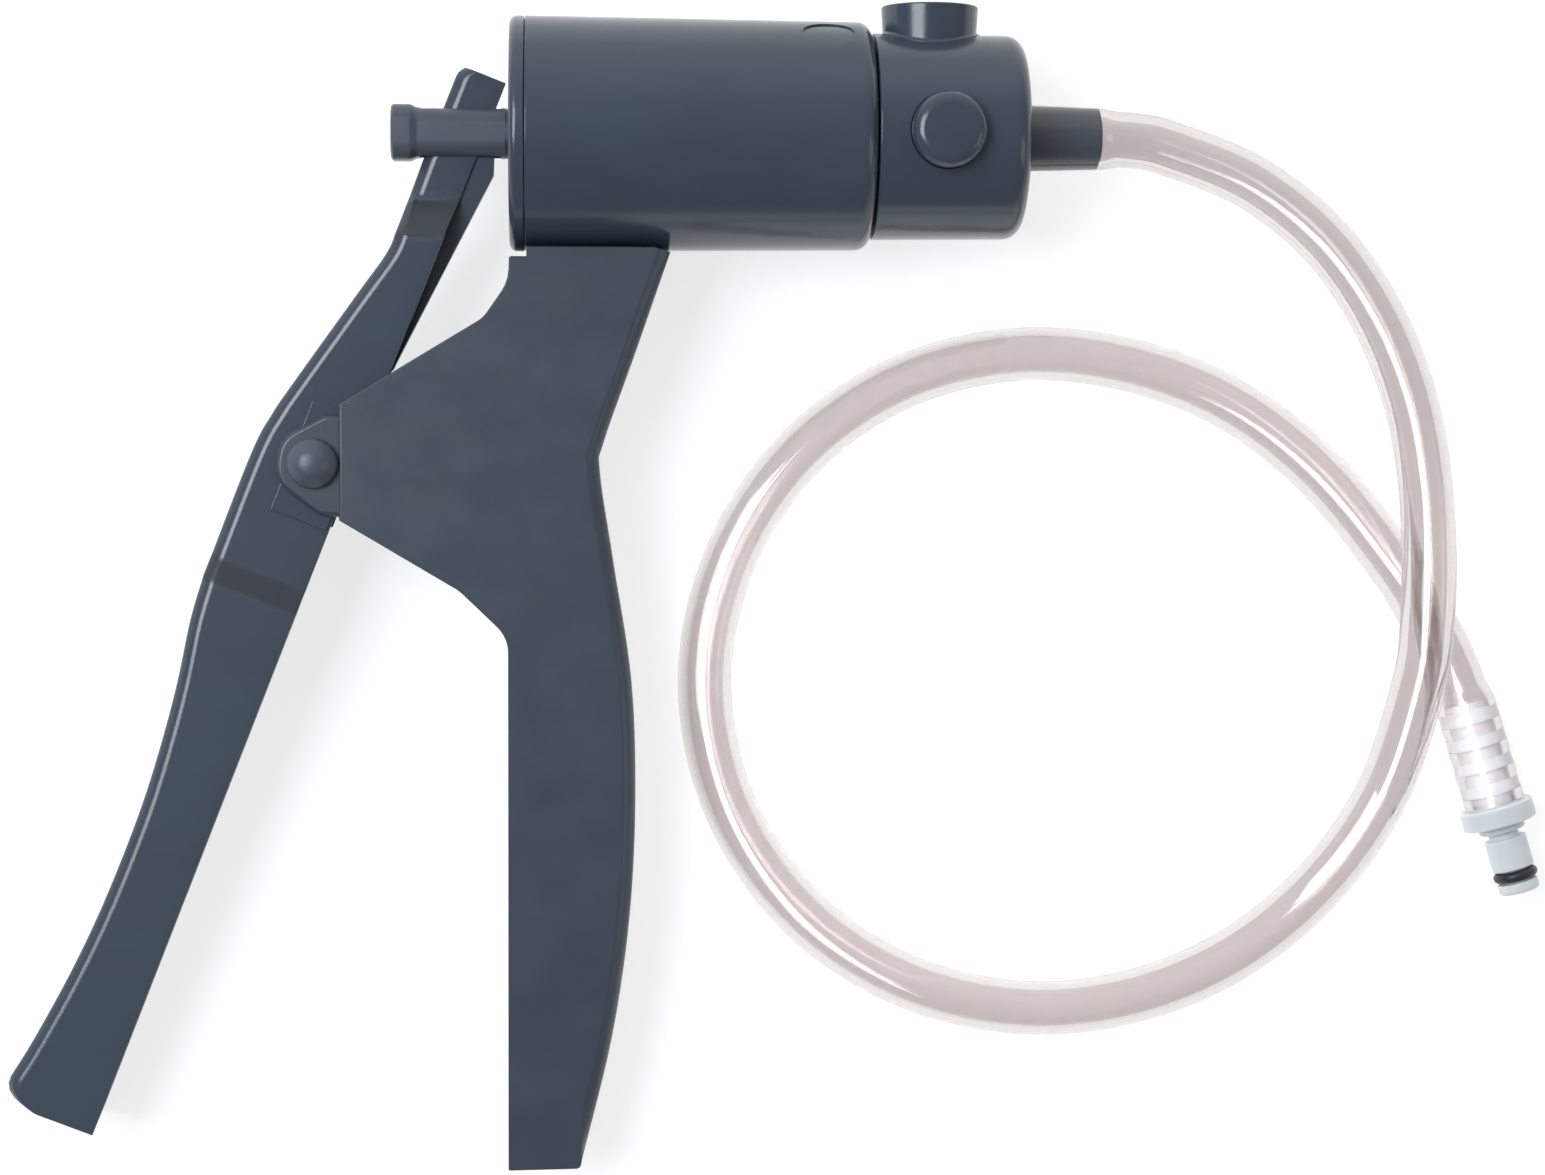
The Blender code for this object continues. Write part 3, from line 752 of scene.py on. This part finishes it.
def grip(look):
    """A slab with two ears for the pin, hollowed from behind and cut round under the barrel."""
    front = grip_front_edge(7)
    back = [
        (0.3, GRIP_TOP), (0.3, -21.2), (-2.6, -21.2, 0.4), (-2.75, -25.5, 12.0), (-7.0, -31.6, 5.0),
        (STEP_X, -46.3), (STEP_X, -65.9), (-11.0, -77.9, 6.0), (-2.8, -85.8, 6.0),
        (-2.8, GRIP_END, 0.3), (9.4, GRIP_END + 0.2, 2.0),
    ]
    outline = rounded([*back, *front[::-1], (22.0, GRIP_TOP)])
    on_front = {(round(x, 3), round(y, 3)) for x, y in front}
    broken, run_out = 0.1, 12.0

    def rim_share(edge):
        """The front edge is bevelled wide, less so towards the end; others are just broken."""
        a, b = (v.co for v in edge.verts)
        above_end = min(a.y, b.y) - GRIP_END
        if not level_edge(edge) or above_end < 1.0:
            return 0.0
        if all((round(p.x, 3), round(p.y, 3)) in on_front for p in (a, b)):
            return min(1.0, broken + above_end / run_out)
        return 2 * broken if max(a.x, b.x) < STEP_X + 0.01 else broken

    body = eased(slab(outline, -GRIP_HALF, GRIP_HALF), 2.3, rim_share, 6, 0.36, clamp=False)
    ear_half = GRIP_HALF - 0.6
    ears = slab(rounded([
        (-29.0, -48.1), (-33.6, -48.0, 2.0), (-41.2, -52.0, 5.5), (-42.3, -59.2, 5.5),
        (-34.6, -65.1, 2.5), (-29.0, -65.6),
    ]), -ear_half, ear_half)
    ears = eased(ears, 0.9, lambda e: float(level_edge(e)))
    top, bottom, behind = -25.0, -175.0, -60.0
    inside = [(x - GRIP_WALL, y) for x, y in grip_front_edge(4) if bottom + 0.5 < y < top]
    pocket = slab(
        [(behind, top), (inside[0][0], top), *inside, (inside[-1][0], bottom), (behind, bottom)],
        -POCKET_HALF, POCKET_HALF,
    )
    steps = [
        ("UNION", ears),
        ("DIFFERENCE", pocket),
        ("DIFFERENCE", disc(-5, 40, BARREL_R + 0.25, sides=200)),
        ("DIFFERENCE", disc(-12, 12, 3.1, "Z", (*PIVOT, 0))),
    ]
    # A socket for each of the barrel's lugs, and its screw hole from below
    for x in LUGS_AT:
        steps.append(("DIFFERENCE", disc(-22.9, -15, 3.5, "Y", (x, 0, 0), 40)))
        steps.append(("DIFFERENCE", disc(-28, -22, 1.9, "Y", (x, 0, 0), 32)))
    finish_piece("grip_shell", carved(body, steps), look, "pump_body", "grip")


def pivot_pin(look, steel):
    bm = turned([
        (-11.6, 0), (-11.6, 3.0, 0.4), (9.2, 3.0), (9.2, 4.25, 0.2), (10.3, 4.25, 1.2),
        (12.3, 2.2, 3.0), (12.6, 0),
    ], "Z", (*PIVOT, 0))
    finish_piece("pin_with_head", bm, look, "pump_body", "pivot_pin")
    clip = turned([(-10.9, 3.3), (-10.9, 4.8, 0.2), (-9.8, 4.8, 0.2), (-9.8, 3.3)], "Z", (*PIVOT, 0))
    x, y = PIVOT
    gap = box((x - 1.5, y - 6, -12), (x + 1.5, y - 2, -9))
    bm = carved(clip, [("DIFFERENCE", gap)])
    finish_piece("retaining_clip", bm, steel, "pump_body", "pin_retainer")


# Lever, drawn down its straight edge; its widths as (how far along, how wide)

LEVER_LONG = 192.3
TONGUE_HALF = 2.0
MIDDLE_HALF = 7.5
LOWER_HALF = 9.0
SLANT_MIDDLE = 4.0
LEVER_SKIN = 1.8
LEVER_WIDTHS = [
    (1.8, 8.4), (12.0, 8.45), (22.5, 8.35), (30.0, 8.0), (34.5, 8.15), (42.5, 10.2), (60.6, 14.8),
    (66.7, 16.2), (74.0, 17.1), (93.3, 17.1), (98.0, 16.9), (104.7, 16.3), (115.0, 14.6),
    (125.4, 13.4), (136.0, 12.65), (147.0, 12.5), (158.0, 12.8), (169.0, 13.7), (181.0, 15.3),
    (188.0, 16.6),
]


def lever_point(along, out):
    s, c = math.sin(LEVER_LEAN), math.cos(LEVER_LEAN)
    return Vector((LEVER_TOP.x - along * s - out * c, LEVER_TOP.y - along * c + out * s))


def lever_half(along, out):
    """Half the lever's thickness: the first step is slanted, the second square to the edge."""
    slant = STEP_SLANT * (out - SLANT_MIDDLE)
    start, length = FIRST_STEP
    first = min(1.0, max(0.0, (along - start - slant) / length))
    start, length = SECOND_STEP
    second = min(1.0, max(0.0, (along - start) / length))
    return TONGUE_HALF + (MIDDLE_HALF - TONGUE_HALF) * first + (LOWER_HALF - MIDDLE_HALF) * second


LEVER_BACK = [(p.x, p.y) for p in smooth_line([(a, w, 0) for a, w in LEVER_WIDTHS], 8)]


def lever_width(along):
    for (a, u), (b, v) in zip(LEVER_BACK, LEVER_BACK[1:]):
        if a <= along <= b:
            return u + (v - u) * (along - a) / (b - a)
    return LEVER_BACK[-1][1]


def edge_profile(tight, wide, steep, across):
    """A tight round, a steep slope and a wide round, as (across, down) from the cheek."""
    turn, last = math.radians(steep), math.pi / 2
    angles = [turn * k / 6 for k in range(1, 7)]
    first = [(tight * math.sin(a), tight * (1 - math.cos(a))) for a in angles]
    start, level = first[-1]
    slope = across - start - wide * (1 - math.sin(turn))
    start, level = start + slope, level + slope * math.tan(turn)
    angles = [turn + (last - turn) * k / 3 for k in range(4)]
    second = [
        (start + wide * (math.sin(a) - math.sin(turn)), level + wide * (math.cos(turn) - math.cos(a)))
        for a in angles
    ]
    return first + second


EDGE_ACROSS = 2.4
LEVER_EDGE = edge_profile(2.2, 1.0, 42, EDGE_ACROSS)


def lever_ring(along, width):
    """Round the section: flat cheeks, a rounded back and almost sharp front edges."""
    corner = min(EDGE_ACROSS, width * 0.45)
    back = width - corner
    profile_across, profile_down = LEVER_EDGE[-1]
    across = corner / profile_across
    down = min(1.0, lever_half(along, width) * 0.85 / profile_down)
    front, tuck = 0.3, 0.8
    angles = [math.radians(d) for d in (0, 45, 90)]
    outs = [(front * (1 - math.cos(a)), front * (1 - math.sin(a))) for a in angles]
    outs += [(o, 0.0) for o in (width * 0.3, width * 0.55, back)]
    upper = [(o, lever_half(along, o) - low) for o, low in outs]
    level = lever_half(along, back)
    upper += [(back + o * across, level - low * down) for o, low in LEVER_EDGE]
    lower = [(o + tuck * max(0.0, 1 - 2 * o / width), -h) for o, h in upper[::-1]]
    return [(*lever_point(along, o), h) for o, h in upper + lower]


def evenly(start, step, count):
    return [start + step * i for i in range(count)]


def lever_slice(along, low, high, half):
    near, far = lever_point(along, low), lever_point(along, high)
    return [(*near, -half), (*far, -half), (*far, half), (*near, half)]


def lever(look):
    """A channel open towards the grip, with a flat tongue running up into the rod's fork."""
    tongue_end = [(0.0, 7.5), (0.5, 7.9), (1.2, 8.3)]
    middle = [(a, lever_width(a)) for a in evenly(2.0, 0.75, 248)]
    tip = [
        (188.0, 16.6), (189.2, 16.55), (190.3, 16.0), (191.2, 14.9), (191.8, 13.6),
        (LEVER_LONG, 12.0),
    ]
    outer = skin([lever_ring(a, w) for a, w in tongue_end + middle + tip])
    open_side = -3.0
    hollow = [
        lever_slice(
            a, open_side, lever_width(a) - LEVER_SKIN, lever_half(a, SLANT_MIDDLE) - LEVER_SKIN
        )
        for a in evenly(36.7, 3.05, 50)
    ]
    hollow.append(lever_slice(LEVER_LONG - 2, open_side, 11.0, LOWER_HALF - LEVER_SKIN))
    # A thin web from the tongue down into the channel
    web = [(-10.0, 3.0), (-4.9, 4.0), (-5.2, -4.3), (-5.3, -7.2), (-22.5, -40.4), (-29.5, -46.0)]
    web += [lever_point(*p) for p in ((58, 13.0), (42.5, 9.0), (33, 6.8), (12, 5.0))]
    web_half = TONGUE_HALF - 0.6
    # A thin pad on each cheek, round the pin
    pad = [lever_point(*p) for p in ((62.0, 0.4), (62.0, 10.6), (82.0, 10.6), (82.0, 0.4))]
    pad_low, pad_high = MIDDLE_HALF - 0.3, MIDDLE_HALF + 0.22
    pads = [
        ("UNION", eased(slab(pad, low, high), 0.2, lambda e: 1.0))
        for low, high in ((-pad_high, -pad_low), (pad_low, pad_high))
    ]
    bm = carved(outer, [
        ("DIFFERENCE", skin(hollow)),
        ("UNION", slab(web, -web_half, web_half)),
        ("DIFFERENCE", disc(-12, 12, 3.15, "Z", (*PIVOT, 0))),
        *pads,
    ])
    finish_piece("lever_shell", bm, look, "squeeze_lever", "lever", sharp=28)


# Springs

def coil(radius, wire, start, end, turns, axis, at):
    """A spring of round wire; wire is half the wire's thickness."""
    per_turn, sides = 40, 12
    steps = int(per_turn * turns)
    to_axis = AXES[axis]
    rings = []
    for i in range(steps + 1):
        angle = math.tau * i / per_turn
        middle = start + wire + (end - start - 2 * wire) * i / steps
        ring = []
        for j in range(sides):
            around = math.tau * j / sides
            r = radius + wire * math.cos(around)
            point = to_axis(middle + wire * math.sin(around), r * math.cos(angle), r * math.sin(angle))
            ring.append(Vector(point) + Vector(at))
        rings.append(ring)
    return skin(rings)


def springs(steel):
    start, end = 0.9, 41.6
    bm = coil(10.2, 0.8, start, end, 6.5, "X", (0, 0, 0))
    made = finish_piece("piston_coil", bm, steel, "pump_body", "return_spring")
    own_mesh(made)
    low, high = 6.8, 11.1
    bm = coil(3.9, 0.3, low, high, 2.5, "Z", (BUTTON_X, 0, 0))
    made = finish_piece("button_coil", bm, steel, "pump_body", "release_spring")
    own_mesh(made)


# Hose and insert, in millimetres of the row frame

HOSE_D = 9.525
HOSE_BORE = 6.35
HOSE_ROUTE = [
    (94.0, 77.4, 20.0), (99.5, 77.2, 20.1), (105.5, 75.9, 20.3), (119.8, 70.2, 20.5),
    (132.7, 60.3, 20.2), (142.3, 47.2, 19.4), (148.4, 33.1, 18.2), (151.4, 19.2, 17.0),
    (152.5, 6.1, 16.0), (152.4, -5.9, 15.2), (151.3, -17.0, 13.8), (145.7, -37.3, 8.8),
    (134.6, -53.9, 5.5), (119.0, -66.2, 4.9), (100.3, -73.3, 4.9), (80.3, -74.6, 4.9),
    (60.1, -69.3, 4.9), (42.5, -57.2, 4.9), (30.2, -38.9, 4.9), (25.7, -17.0, 4.9),
    (30.1, 4.7, 4.9), (42.2, 23.3, 4.9), (59.8, 35.8, 4.9), (80.2, 41.1, 4.9),
    (100.5, 39.6, 4.9), (119.4, 32.6, 4.9), (135.6, 20.3, 4.9), (149.2, 3.8, 4.9),
    (154.8, -5.4, 5.3), (158.4, -12.4, 6.0), (161.2, -19.8, 6.6),
]
ON_SPIGOT = [(80.6, 77.45, 20.0), (87.5, 77.45, 20.0)]


def even_points(points, step):
    """Points about that far apart along the smooth curve through the given ones."""
    fine = smooth_line(points, per_span=24)
    travelled = [0.0]
    for a, b in zip(fine, fine[1:]):
        travelled.append(travelled[-1] + (b - a).length)
    count = round(travelled[-1] / step)
    even, j = [], 0
    for i in range(count + 1):
        wanted = travelled[-1] * i / count
        while j < len(fine) - 2 and travelled[j + 1] < wanted:
            j += 1
        share = (wanted - travelled[j]) / (travelled[j + 1] - travelled[j])
        even.append(fine[j].lerp(fine[j + 1], share))
    return even, travelled[-1]


def stretched(bore):
    """The outer radius where the bore is forced open, the wall keeping its area."""
    return math.sqrt((HOSE_D / 2) ** 2 - (HOSE_BORE / 2) ** 2 + bore ** 2)


def fading(place, start, end):
    """From 1 at the start to 0 at the end, gently."""
    t = min(1.0, max(0.0, (place - start) / (end - start)))
    return 1 - t * t * (3 - 2 * t)


def hose_bore(from_start, from_end):
    """Half the bore: forced open over the spigot and the barbs, easing back beyond them."""
    free, spigot_long, ease = HOSE_BORE / 2, 13.0, 3.0
    pinch, taper = 0.06, 0.041
    over_barbs, ripple, first_ridge = 4.0, 0.07, 1.2
    bore = free
    if from_start < spigot_long + ease:
        spigot = SPIGOT_R - pinch - taper * from_start
        bore = free + (spigot - free) * fading(from_start, spigot_long, spigot_long + 3.5)
    if from_end < BARB_LONG + ease:
        barbs = over_barbs + ripple * math.cos(math.tau * (from_end - first_ridge) / BARB_STEP)
        share = fading(from_end, BARB_LONG - 1.5, BARB_LONG + ease)
        bore = max(bore, free + (barbs - free) * share)
    return bore


def hose(look):
    on_barb = [INSERT_AT + INSERT_WAY * (FLANGE_BACK - back) for back in (15.0, 8.0, 0.35)]
    line, length = even_points([*ON_SPIGOT, *HOSE_ROUTE, *on_barb], step=1.1)
    sides = 88
    side = Vector((0, 0, 1))
    rings_out, rings_in = [], []
    for i, point in enumerate(line):
        ahead = (line[min(i + 1, len(line) - 1)] - line[max(i - 1, 0)]).normalized()
        side = (side - ahead * side.dot(ahead)).normalized()
        other = ahead.cross(side)
        place = length * i / (len(line) - 1)
        bore = hose_bore(place, length - place)
        for radius, rings in ((stretched(bore), rings_out), (bore, rings_in)):
            angles = [math.tau * j / sides for j in range(sides)]
            rings.append([
                point + (side * math.cos(a) + other * math.sin(a)) * radius for a in angles
            ])
    bm = skin([*rings_out, *rings_in[::-1], rings_out[0]], caps=False)
    bmesh.ops.remove_doubles(bm, verts=bm.verts, dist=1e-5)
    made = finish_piece("clear_tube", bm, look, "pump_body", "hose", MILLIMETRES)
    hose_light(made)


def coupling_insert(acetal, rubber):
    barbs = []
    for i in range(4):
        start = FLANGE_BACK - BARB_LONG + BARB_STEP * i
        barbs += [(start, 3.75, 0.1), (start + 3.6, 4.25, 0.12), (start + 4.0, 3.7, 0.15)]
    bm = turned([
        (FLANGE_BACK - BARB_LONG, 1.6, 0.2), *barbs, (FLANGE_BACK, 3.4), (FLANGE_BACK, 6.55, 0.35),
        (-FLANGE_BACK, 6.55, 0.35), (-FLANGE_BACK, 4.1), (3.15, 4.1, 0.25), (3.15, 2.7, 0.2),
        (4.45, 2.7, 0.2), (4.45, 3.75, 0.25), (10.1, 3.75, 0.2), (10.1, 2.6), (12.5, 2.6),
        (12.5, 3.65, 0.2), (14.4, 3.65, 0.6), (14.4, 1.6, 0.2),
    ])
    insert = finish_piece(
        "insert_body", bm, acetal, "pump_body", "coupling_insert", INSERT
    )
    wire, ring_r, ring_at, sides = 0.9, 3.08, 11.3, 20
    angles = [math.tau * k / sides for k in range(sides)]
    bm = turned([(ring_at + wire * math.cos(a), ring_r + wire * math.sin(a)) for a in angles])
    o_ring = finish_piece(
        "insert_o_ring", bm, rubber, "pump_body", "coupling_o_ring", INSERT
    )
    return [insert, o_ring]


# All together

def dress_cad(looks):
    """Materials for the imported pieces, of which some stay in view."""
    by_slot = {s["node"]: s["material_slot"] for s in frame["record"]["subparts"]}
    for name, obj in frame["nodes"].items():
        smooth_shaded(obj, looks[by_slot[name]], sharp=35)


def build():
    plastic = (0.040, 0.054, 0.076)
    looks = {
        "dark_plastic": moulded_plastic("dark_abs", plastic, 0.20),
        "lever_plastic": stepped_plastic("lever_abs", plastic, 0.20),
        "matt_plastic": moulded_plastic("matt_abs", (0.036, 0.049, 0.069), 0.34),
        "grey_plastic": moulded_plastic("grey_abs", (0.062, 0.073, 0.096), 0.34),
        "steel": turned_steel(),
        "rubber": black_rubber(),
        "white_acetal": white_acetal(),
        "clear_hose": clear_vinyl(),
    }
    camera()
    studio()
    insert_pieces = coupling_insert(looks["white_acetal"], looks["rubber"])
    hose(looks["clear_hose"])
    dress_cad(looks)
    barrel(looks["dark_plastic"])
    rear_cap(looks["dark_plastic"])
    piston_rod(looks["grey_plastic"])
    front_housing(looks["dark_plastic"])
    gauge_plug(looks["dark_plastic"])
    release_button(looks["dark_plastic"])
    hose_spigot(looks["dark_plastic"])
    grip(looks["matt_plastic"])
    pivot_pin(looks["grey_plastic"], looks["steel"])
    lever(looks["lever_plastic"])
    springs(looks["steel"])


build()
